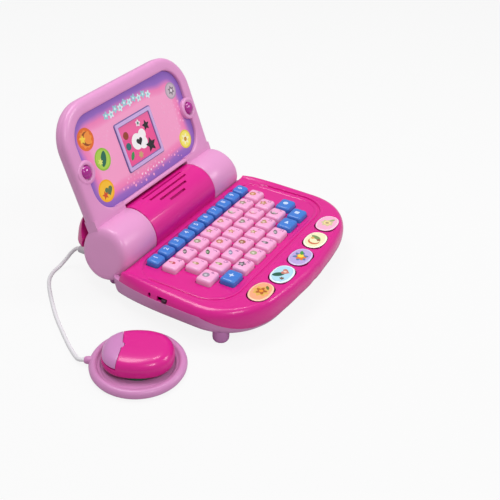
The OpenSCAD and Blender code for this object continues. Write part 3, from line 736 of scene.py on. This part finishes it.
# Dark magenta for the button's low side: painted shade of the gap round each picture button.
button_side_painted_gap_shade = moulded("button side painted gap shade", srgb(130, 14, 84), rough=0.5, coat=0.0)
for k, (tone_name, (x, y), body_tone, rim_tone, motifs) in enumerate(button_looks):
    form = bmesh.new()
    skin(form, [[(px + x, py + y, z) for px, py in oval(button_w - 2 * i, button_d - 2 * i)]
                for i, z in button_dome], 1)
    # Faces below this height take the dark magenta: painted shade of the gap round the button.
    for f in form.faces:
        if f.calc_center_median().z < painted_gap_shade_top:
            f.material_index = 2
    stamp(form, [(px / 10, py / 10) for px, py in oval(24.2, 15.6)], (x, y), 10, 36.1, 36.26, 0)
    layers = [36.2 + 0.05 * (j + 2) for j in range(4)]
    for j, (shape, size, (mx, my), tone) in enumerate(motifs):
        stamp(form, shape, (x + mx * 1.5, y + 1.15 * my), size * 1.22, 36.15, layers[j], 3 + j)
    finishes = [moulded("button " + tone_name, srgb(*body_tone), rough=0.28, coat=0.4),
                moulded("button rim " + tone_name, srgb(*rim_tone), rough=0.28, coat=0.4), button_side_painted_gap_shade]
    finishes += [ink(*m[3]) for m in motifs]
    button = make_piece("picture_cap_%d" % (k + 1), form, finishes, on_base)
    node = "picture_button_%d" % (k + 1)
    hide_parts(node)
    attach(button, node)


# ---- Lid frame and back cover ----
# The light pink lid is two mouldings joined along its edge: a front frame with two hinge
# knuckles, and a dished back cover.
tilt = math.radians(21)


def on_lid(p):
    """X, depth behind the hinge axis, distance from the axis."""
    y = p[1] * math.cos(tilt) + p[2] * math.sin(tilt)
    z = -p[1] * math.sin(tilt) + p[2] * math.cos(tilt)
    return on_base((p[0], y + hinge_y, z + hinge_z))


lid_pink = moulded("light pink lid", srgb(223, 152, 202), rough=0.32, coat=0.15, grain=0.01)
lid_half, lid_top, lid_corner = 91.7, 128.7, 37
lid_low, lid_low_corner = 25.9, 1.5
panel_half_w, panel_half_h, panel_mid, panel_corner = 79, 43, 73.3, 23
lamp_x, lamp_t = 79, 71.5


def lid_outline(inset, n=14):
    """Front view of the lid, as points from its right upper corner round."""
    half, top, r = lid_half - inset, lid_top - inset, max(lid_corner - inset, 2)
    low, rl = lid_low + min(inset, 1.6), max(lid_low_corner - inset, 1)
    points = []
    for sx, cz, radius, start in [(1, top - r, r, 0), (-1, top - r, r, 90),
                                  (-1, low + rl, rl, 180), (1, low + rl, rl, 270)]:
        for j in range(n + 1):
            a = math.radians(start + 90 * j / n)
            points.append((sx * (half - radius) + radius * math.cos(a), cz + radius * math.sin(a)))
    return points


def panel_outline(inset):
    """Outline of the panel, with as many points as the lid's outline."""
    w, h, r = panel_half_w - inset, panel_half_h - inset, max(panel_corner - inset, 1)
    return [(x, t + panel_mid) for x, t in oblong(2 * w, 2 * h, r, n=14)]


def lathe(profile, count, place):
    """Rings of a turned solid from (distance along, radius) pairs."""
    return [[place(s, r * math.cos(2 * math.pi * j / count), r * math.sin(2 * math.pi * j / count))
             for j in range(count)] for s, r in profile]


form = bmesh.new()
frame_section = [("lid", 0.0, 4.0), ("lid", 0.0, 2.6), ("lid", 0.35, 1.2), ("lid", 1.2, 0.1),
                 ("lid", 2.6, -0.6), ("lid", 4.4, -0.95), ("lid", 6.5, -1.0), ("panel", -2.2, -1.0),
                 ("panel", -1.0, -0.85), ("panel", -0.3, -0.4), ("panel", 0.0, 0.3),
                 ("panel", 0.0, 3.4), ("panel", -3.0, 4.0)]
skin(form, [[(x, depth, t) for x, t in (lid_outline(i) if kind == "lid" else panel_outline(i))]
            for kind, i, depth in frame_section], loop=True)
knuckle_profile = [(49.4, 0.5), (49.4, 23.6), (49.55, 24.2), (50.0, 24.5), (70, 24.5), (86, 24.5),
                   (89.5, 24.35), (91.6, 23.8), (93.4, 22.9), (94.8, 21.6), (95.8, 20.0),
                   (96.4, 18.2), (96.6, 16.4), (96.6, 8), (96.6, 0.5)]
end_start, end_length, end_slope = 85, 11.6, 0.19
neck = [(-0.9, 20.0), (-0.9, 31.0), (10.9, 31.0), (10.9, 20.0)]
lamp_ring = [(3.8, 10.6), (-0.2, 10.6), (-0.9, 10.3), (-1.35, 9.6), (-1.5, 8.4), (-1.35, 7.2),
             (-0.9, 6.6), (-0.2, 6.4), (3.8, 6.4)]


def at_knuckle(s):
    """Places a turned knuckle on side s, with its end leaning in towards the top."""
    def place(a, b, c):
        high = c * math.cos(tilt) - b * math.sin(tilt)
        return s * (a - (a > end_start) * (a - end_start) / end_length * end_slope * high), b, c
    return place


def at_lamp(s):
    """Places a turned lamp or its ring on side s, facing out of the panel."""
    return lambda a, b, c: (s * lamp_x + b, a, lamp_t + c)


for s in (-1, 1):
    skin(form, lathe(knuckle_profile, 96, at_knuckle(s)))
    skin(form, [[(s * x, y, t) for y, t in neck] for x in (49.6, 91.55)])
    skin(form, lathe(lamp_ring, 64, at_lamp(s)), loop=True)
lid_frame = make_piece("lid_frame", form, [lid_pink], on_lid)
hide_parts("lid_front_frame")
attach(lid_frame, "lid")

form = bmesh.new()
cover_section = [(0.5, 3.6), (0.5, 4.1), (0.1, 4.5), (0.0, 5.0), (0.05, 7.4), (0.5, 9.3), (1.4, 11.0),
                 (2.8, 12.4), (4.6, 13.2), (6.8, 13.5), (16, 13.5)]
skin(form, [[(x, depth, t) for x, t in lid_outline(i)] for i, depth in cover_section])
lid_cover = make_piece("lid_cover", form, [lid_pink], on_lid)
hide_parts("lid_back_cover")
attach(lid_cover, "lid")


# ---- Picture panel, screen and lamps ----
# A printed panel set into the frame, violet at its edge and pink in the middle, with round
# pictures. A violet bezel holds the small screen, and a gloss lamp sits at each side.
def on_panel(p):
    """X, distance from the axis, height above the panel."""
    return on_lid((p[0], 2.0 - p[2], p[1]))


def panel_print():
    """Violet at the panel's edge, pink inside, with a drifting border between them."""
    finish = moulded("panel print", [1, 1, 1], rough=0.3, coat=0.3)
    tree = finish.node_tree
    add, join = tree.nodes.new, tree.links.new
    shader = tree.nodes["Principled BSDF"]
    edge = add("ShaderNodeAttribute")
    edge.attribute_name = "edge_distance"
    place = add("ShaderNodeTexCoord")
    drift = add("ShaderNodeTexNoise")
    settle(drift, {"Scale": 15, "Detail": 3})
    join(place.outputs["Object"], drift.inputs["Vector"])
    shift = add("ShaderNodeMath")
    shift.operation = "MULTIPLY_ADD"
    settle(shift, {1: 0.62})
    join(drift.outputs["Fac"], shift.inputs[0])
    join(edge.outputs["Fac"], shift.inputs[2])
    ramp = add("ShaderNodeValToRGB")
    join(shift.outputs["Value"], ramp.inputs["Fac"])
    stops = [(0.28, (140, 96, 190)), (0.5, (156, 108, 198)), (0.62, (208, 124, 198)),
             (0.72, (242, 132, 188)), (0.88, (246, 146, 196)), (1.0, (248, 164, 206))]
    while len(ramp.color_ramp.elements) < len(stops):
        ramp.color_ramp.elements.new(0.5)
    for stop, (at, tone) in zip(ramp.color_ramp.elements, stops):
        stop.position = at
        stop.color = (*srgb(*tone), 1)
    join(ramp.outputs["Color"], shader.inputs["Base Color"])
    return finish


form = bmesh.new()
distance = form.verts.layers.float.new("edge_distance")
panel_steps = [0.3, 0.3, 2, 4, 6, 8, 10, 12, 14, 17, 20, 24, 28, 33, 38]
rows = skin(form, [[(x, t, -1.0 if k == 0 else 0.0) for x, t in panel_outline(i)]
                   for k, i in enumerate(panel_steps)])
for inset, row in zip(panel_steps, rows):
    for v in row:
        v[distance] = min(1.0, inset / 26)
panel = make_piece("panel_sheet", form, [panel_print()], on_panel, smooth=30)
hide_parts("picture_panel")
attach(panel, "lid")

round_pictures = [
    ((-64, 96), 10, (232, 112, 40), [(spokes(9, 0.08, 0.85), 0.86, (0, 0), (244, 150, 60)),
     (moon(), 0.62, (0.15, 0), (150, 74, 26)), (spokes(5, 0.2, 0.7), 0.4, (-0.35, 0.1), (250, 214, 70))]),
    ((-53, 73), 10, (150, 196, 60), [(disc(0.84), 1, (0, 0), (176, 214, 80)),
     (leaf(1.1), 0.72, (0.1, 0), (40, 110, 84)),
     (spokes(6, 0.2, 0.7), 0.34, (-0.38, -0.1), (226, 236, 120))]),
    ((-62, 47), 10, (246, 176, 20), [(disc(0.84), 1, (0, 0), (250, 196, 50)),
     (heart(), 0.5, (0.28, -0.1), (90, 120, 80)), (star(), 0.42, (-0.3, -0.3), (206, 80, 40))]),
    ((64, 95), 8, (176, 160, 176), [(disc(0.82), 1, (0, 0), (200, 184, 196)),
     (star(6, 0.5), 0.62, (0.1, 0), (110, 96, 110)), (disc(0.9), 0.24, (0.1, 0), (230, 222, 230))]),
    ((62, 46), 9, (232, 216, 60), [(disc(0.84), 1, (0, 0), (244, 236, 110)),
     (spokes(6, 0.25, 0.7), 0.66, (0, 0), (250, 248, 200)), (disc(0.9), 0.26, (0, 0), (200, 150, 40))])]
form = bmesh.new()
finishes = []
for (x, t), r, tone, layers in round_pictures:
    finishes.append(ink(*tone))
    stamp(form, disc(), (x, t), r, -0.1, 0.06, len(finishes) - 1)
    for j, (shape, size, (mx, mt), colour) in enumerate(layers):
        finishes.append(ink(*colour))
        stamp(form, shape, (x + mx * r, t + mt * r), size * r, 0.0, 0.10 + 0.04 * j, len(finishes) - 1)
teal_ink, pale_teal_ink, white_ink = ink(150, 206, 216), ink(214, 240, 242), ink(250, 226, 240)
finishes += [teal_ink, pale_teal_ink, white_ink]
for k in range(10):
    x = -31 + 62 * k / 9
    spot = (x, 103.6 + 2.6 * math.cos(x / 22) + 0.9 * (-1) ** k)
    stamp(form, spokes(5, 0.22, 0.8, turn=0.4 * k), spot, 3.8, 0.0, 0.10, len(finishes) - 3 + k % 2)
    stamp(form, disc(), spot, 1.2, 0.0, 0.14, len(finishes) - 2 - k % 2)
for k in range(9):
    stamp(form, disc(), (-12 + 4.4 * k, 40.6 + 0.6 * (-1) ** k), 0.9, 0.0, 0.1, len(finishes) - 1)
round_prints = make_piece("round_prints", form, finishes, on_panel)
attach(round_prints, "lid")


def bubble_tree():
    """Scatters small round prints of mixed sizes over a field."""
    tree = bpy.data.node_groups.new("scattered bubbles", "GeometryNodeTree")
    add, join = tree.nodes.new, tree.links.new
    face = tree.interface
    face.new_socket("Field", in_out="INPUT", socket_type="NodeSocketGeometry")
    for label, kind in (("Spacing", "NodeSocketFloat"), ("Crowding", "NodeSocketFloat"),
                        ("Largest Radius", "NodeSocketFloat"), ("Print Height", "NodeSocketFloat"),
                        ("Seed", "NodeSocketInt"), ("Ink", "NodeSocketMaterial")):
        face.new_socket(label, in_out="INPUT", socket_type=kind)
    face.new_socket("Bubbles", in_out="OUTPUT", socket_type="NodeSocketGeometry")
    given = add("NodeGroupInput")
    made = add("NodeGroupOutput")
    spots = add("GeometryNodeDistributePointsOnFaces")
    spots.distribute_method = "POISSON"
    dot = add("GeometryNodeMeshCylinder")
    settle(dot, {"Vertices": 16, "Radius": 1.0})
    sizes = add("FunctionNodeRandomValue")
    sizes.data_type = "FLOAT"
    settle(sizes, {2: 0.35, 3: 1.0})
    across = add("ShaderNodeMath")
    across.operation = "MULTIPLY"
    shape = add("ShaderNodeCombineXYZ")
    place = add("GeometryNodeInstanceOnPoints")
    real = add("GeometryNodeRealizeInstances")
    inked = add("GeometryNodeSetMaterial")
    for label, node, entry in (("Field", spots, "Mesh"), ("Spacing", spots, "Distance Min"),
                               ("Crowding", spots, "Density Max"), ("Seed", spots, "Seed"),
                               ("Seed", sizes, "Seed"), ("Print Height", dot, "Depth"),
                               ("Largest Radius", across, 1), ("Ink", inked, "Material")):
        join(given.outputs[label], node.inputs[entry])
    join(sizes.outputs[1], across.inputs[0])
    join(across.outputs["Value"], shape.inputs["X"])
    join(across.outputs["Value"], shape.inputs["Y"])
    settle(shape, {"Z": 1.0})
    join(spots.outputs["Points"], place.inputs["Points"])
    join(dot.outputs["Mesh"], place.inputs["Instance"])
    join(shape.outputs["Vector"], place.inputs["Scale"])
    join(place.outputs["Instances"], real.inputs["Geometry"])
    join(real.outputs["Geometry"], inked.inputs["Geometry"])
    join(inked.outputs["Geometry"], made.inputs["Bubbles"])
    return tree


bubble_form = bmesh.new()
for corners in ([(34, 55), (70, 60), (70, 84), (34, 92)], [(-44, 34), (50, 34), (50, 45), (-44, 45)],
                [(-42, 84), (-30, 96), (-44, 100), (-52, 88)]):
    bubble_form.faces.new([bubble_form.verts.new((x, t, 0.02)) for x, t in corners])
bubble_field = bpy.data.meshes.new("bubble_field")
bubble_form.to_mesh(bubble_field)
bubble_form.free()
bubbles = placed("panel_bubbles", bubble_field)
scatter = bubbles.modifiers.new("scatter", "NODES")
scatter.node_group = bubble_tree()
chosen = {"Spacing": 3.4, "Crowding": 0.09, "Largest Radius": 1.3, "Print Height": 0.1, "Seed": 11,
          "Ink": ink(248, 172, 210)}
for socket in scatter.node_group.interface.items_tree:
    if socket.in_out == "INPUT" and socket.name in chosen:
        scatter[socket.identifier] = chosen[socket.name]
bubble_mesh = mesh_of(bubbles)
bubbles.modifiers.clear()
bubbles.data = bubble_mesh
for v in bubble_mesh.vertices:
    v.co = on_panel(v.co)
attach(bubbles, "lid")

bezel_violet = moulded("bezel violet", srgb(206, 176, 228), rough=0.28, coat=0.4)
bezel_line = moulded("bezel line", srgb(104, 92, 156), rough=0.35, coat=0.2)
screen_pink = moulded("screen picture", srgb(238, 84, 152), rough=0.2, coat=0.8, drift=0.12)
screen_mid = 71.0


def plate_ring(form, outer, inner, heights, finish):
    """Flat ring between two rounded rectangles (half width, half height, radius)."""
    rings = []
    for (w, h, r), z in [(outer, -0.2), (outer, heights[0]), (inner, heights[1]), (inner, -0.2)]:
        rings.append([(x, y + screen_mid, z) for x, y in oblong(2 * w, 2 * h, r)])
    skin(form, rings, finish, loop=True)


form = bmesh.new()
plate_ring(form, (27.2, 23.2, 2.2), (26.2, 22.2, 1.4), (0.5, 0.7), 1)
plate_ring(form, (26.3, 22.3, 1.5), (23.3, 19.2, 1.0), (1.2, 1.2), 0)
plate_ring(form, (23.4, 19.3, 1.0), (22.6, 18.5, 0.8), (0.7, 0.4), 1)
stamp(form, oblong(46, 38, 0.8), (0, screen_mid), 1, -0.2, 0.2, 2)
screen_art = [
    (oblong(45, 13, 0.6), (0, 84), 1, (244, 104, 166)), (disc(), (-4, 70), 7.5, (250, 250, 250)),
    (disc(), (3.5, 66.5), 6.0, (250, 250, 250)), (disc(), (5.0, 73.5), 5.2, (250, 250, 250)),
    (star(5, 0.5), (12.5, 60.5), 7.4, (30, 24, 36)), (star(5, 0.5), (14.0, 79), 5.4, (30, 24, 36)),
    (heart(), (-1.0, 69.0), 4.4, (34, 28, 40)), (disc(), (-16, 80), 3.6, (150, 62, 40)),
    (disc(), (-17, 70), 3.4, (40, 110, 110)), (leaf(0.9), (-16, 60.5), 4.2, (46, 150, 80)),
    (spokes(6, 0.2, 0.8), (-5, 57.5), 3.4, (206, 170, 120)),
    (spokes(5, 0.2, 0.8), (4.5, 84.5), 3.4, (244, 240, 246)),
    (disc(), (4.5, 84.5), 1.3, (80, 130, 120))]
screen_finishes = [bezel_violet, bezel_line, screen_pink]
for j, (shape, spot, size, tone) in enumerate(screen_art):
    screen_finishes.append(moulded("screen ink %d" % j, srgb(*tone), rough=0.2, coat=0.8, drift=0.06))
    stamp(form, shape, spot, size, 0.0, 0.22 + 0.01 * j, 3 + j)
screen_unit = make_piece("screen_and_bezel", form, screen_finishes, on_panel)
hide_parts("screen_window")
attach(screen_unit, "lid")
lcd_grey = moulded("lcd module", srgb(143, 109, 156), rough=0.5, coat=0.0)
dress("lcd_module", lcd_grey, edge=0.3)

lamp_gloss = moulded("lamp gloss", srgb(168, 24, 140), rough=0.1, coat=1.0, grain=0.0)
form = bmesh.new()
lamp_profile = [(6.5, 0.5), (6.5, 8.2), (5.2, 8.2), (5.2, 6.15), (0.0, 6.15), (-0.9, 6.0), (-1.9, 5.5),
                (-2.7, 4.6), (-3.3, 3.4), (-3.65, 2.0), (-3.75, 0.5)]
for s in (-1, 1):
    skin(form, lathe(lamp_profile, 64, at_lamp(s)))
lamps = make_piece("lamp_domes", form, [lamp_gloss], on_lid)
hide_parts("lid_lamps")
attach(lamps, "lid")


# ---- Mouse saucer ----
# A shallow light pink dish that slides on the table: a rolled rim, a step inside it and a
# collar where the cord goes in.
mouse_x, mouse_y, mouse_turn = -159, -20.7, math.radians(30)


def on_mouse(p):
    c, s = math.cos(mouse_turn), math.sin(mouse_turn)
    return on_base((p[0] * c - p[1] * s + mouse_x, p[0] * s + p[1] * c + mouse_y, p[2]))


form = bmesh.new()
saucer_profile = [(0.0, 0.5), (0.0, 34.8), (0.4, 36.7), (1.3, 38.1), (2.7, 38.85), (4.1, 39.0),
                  (5.4, 38.6), (6.5, 37.8), (7.3, 36.7), (7.6, 35.6), (7.5, 34.5), (7.1, 33.5),
                  (6.3, 32.8), (5.6, 32.4), (5.1, 31.9), (4.8, 31.4), (4.7, 30.6), (4.4, 30.0),
                  (3.8, 29.6), (3.35, 29.0), (3.2, 28.0), (3.2, 0.5)]
skin(form, lathe(saucer_profile, 144, lambda a, b, c: (b, c, a)))
for s in (-1, 1):
    skin(form, [[(s * 5 + x, y, z) for x, y in [(-1, -3), (1, -3), (1, 3), (-1, 3)]] for z in (2.9, 14.0)])
collar_turn, collar_z = math.radians(-2.5), 4.3
collar = [(34.0, 2.4), (37.0, 3.2), (39.6, 3.3), (41.6, 3.0), (42.8, 2.5), (43.0, 2.0)]
skin(form, lathe(collar, 32, lambda a, b, c: (
    b * math.cos(collar_turn) - a * math.sin(collar_turn),
    b * math.sin(collar_turn) + a * math.cos(collar_turn), collar_z + c)))
# The dish takes the darker copy of the lid's pink: painted shade.
saucer = make_piece("mouse_dish", form, [light_pink_painted_shade], on_mouse)
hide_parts("mouse_saucer")
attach(saucer, "mouse_saucer")
dress("mouse_board", board_green, edge=0.0)
dress("mouse_pivot", moulded("pivot plastic", srgb(216, 216, 220), rough=0.4, coat=0.0), edge=0.2)


# ---- Mouse body and button ----
# A low magenta shell with an almost flat top, and a light pink button over its nose. Both are
# hollow mouldings. The button's pink is a darker copy of the lid's plastic: painted shade.
body_profile = [(0.6, 7.0), (0.1, 8.2), (0.0, 10.0), (0.2, 12.6), (0.8, 14.8), (1.9, 16.8), (3.5, 18.4),
                (5.6, 19.5), (8.2, 20.2), (11.2, 20.6), (14.6, 20.85), (18.5, 20.95)]
mouse_w, mouse_d, mouse_shift = 49, 58, 2.4
lip_z, lip_cut = 7.1, 1.0


def body_rings(shrink, drop_by):
    """Rings of the body; the hollow inside it is a smaller one whose foot runs out below."""
    rings = []
    for inset, z in body_profile:
        i = inset + shrink
        if z > lip_z:
            z -= drop_by
        elif shrink:
            z -= lip_cut
        rings.append([(x + mouse_shift, y, z)
                      for x, y in oval(mouse_w - 2 * i, mouse_d - 2 * i, power=2.35, n=96)])
    return rings


def mouse_solid(name, shrink=0.0, drop_by=0.0):
    form = bmesh.new()
    skin(form, body_rings(shrink, drop_by))
    return make_piece(name, form, [magenta], lambda p: p / 1000)


nose_bend, nose_lean = 0.0055, 0.06
bay_x, bay_half, bay_deep = 1.7, 3.0, 2.0


def nose_block(name, y, z):
    """Block over the nose; its rear edge is a slow curve with a round bay for the thumb stop."""
    form = bmesh.new()
    bay = [-1.4, -1.2, -0.7, 0.2, 1.2, 2.2, 3.2, 4.1, 4.6, 4.8]
    along = list(range(-36, -2, 4)) + bay + list(range(8, 37, 4))
    curve = [(x, y + nose_bend * x * x - nose_lean * x
              - bay_deep * math.sqrt(max(0, 1 - ((x - bay_x) / bay_half) ** 2))) for x in along]
    outline = curve + [(36, 60), (-36, 60)]
    skin(form, [[(px, py, pz) for px, py in outline] for pz in (z, 60)])
    return make_piece(name, form, [magenta], lambda p: p / 1000)


def carved(name, start, cuts, finish):
    """Carries out the cuts on a solid, eases its edges and leaves a plain mesh."""
    for operation, tool in cuts:
        cut = start.modifiers.new("cut", "BOOLEAN")
        cut.operation = operation
        cut.object = tool
        cut.solver = "EXACT"
    ease = start.modifiers.new("ease", "BEVEL")
    ease.width = 0.0005
    ease.segments = 3
    ease.limit_method = "ANGLE"
    ease.angle_limit = math.radians(45)
    mesh = mesh_of(start)
    mesh.name = name
    mesh.materials.clear()
    mesh.materials.append(finish)
    for polygon in mesh.polygons:
        polygon.material_index = 0
    for v in mesh.vertices:
        v.co = on_mouse(v.co * 1000)
    mesh.shade_smooth()
    mesh.set_sharp_from_angle(angle=math.radians(35))
    bpy.data.objects.remove(start)
    return placed(name, mesh)


hollow = mouse_solid("hollow", 2.2, 2.0)
shell_cut = nose_block("shell_cut", 12.0, 12.6)
button_cut = nose_block("button_cut", 12.4, 13.8)
mouse_body = carved("mouse_top", mouse_solid("body"), [("DIFFERENCE", hollow), ("DIFFERENCE", shell_cut)],
                    magenta)
# A darker copy of the lid's pink plastic for the mouse button: painted shade.
button_pink_painted_shade = moulded("light pink button painted shade", srgb(202, 134, 190), rough=0.32, coat=0.15)
mouse_key = carved("mouse_nose_button", mouse_solid("nose"),
                   [("DIFFERENCE", hollow), ("INTERSECT", button_cut)], button_pink_painted_shade)
for tool in (hollow, shell_cut, button_cut):
    bpy.data.objects.remove(tool)
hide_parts("mouse_shell")
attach(mouse_body, "mouse_shell")
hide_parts("mouse_button")
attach(mouse_key, "mouse_button")
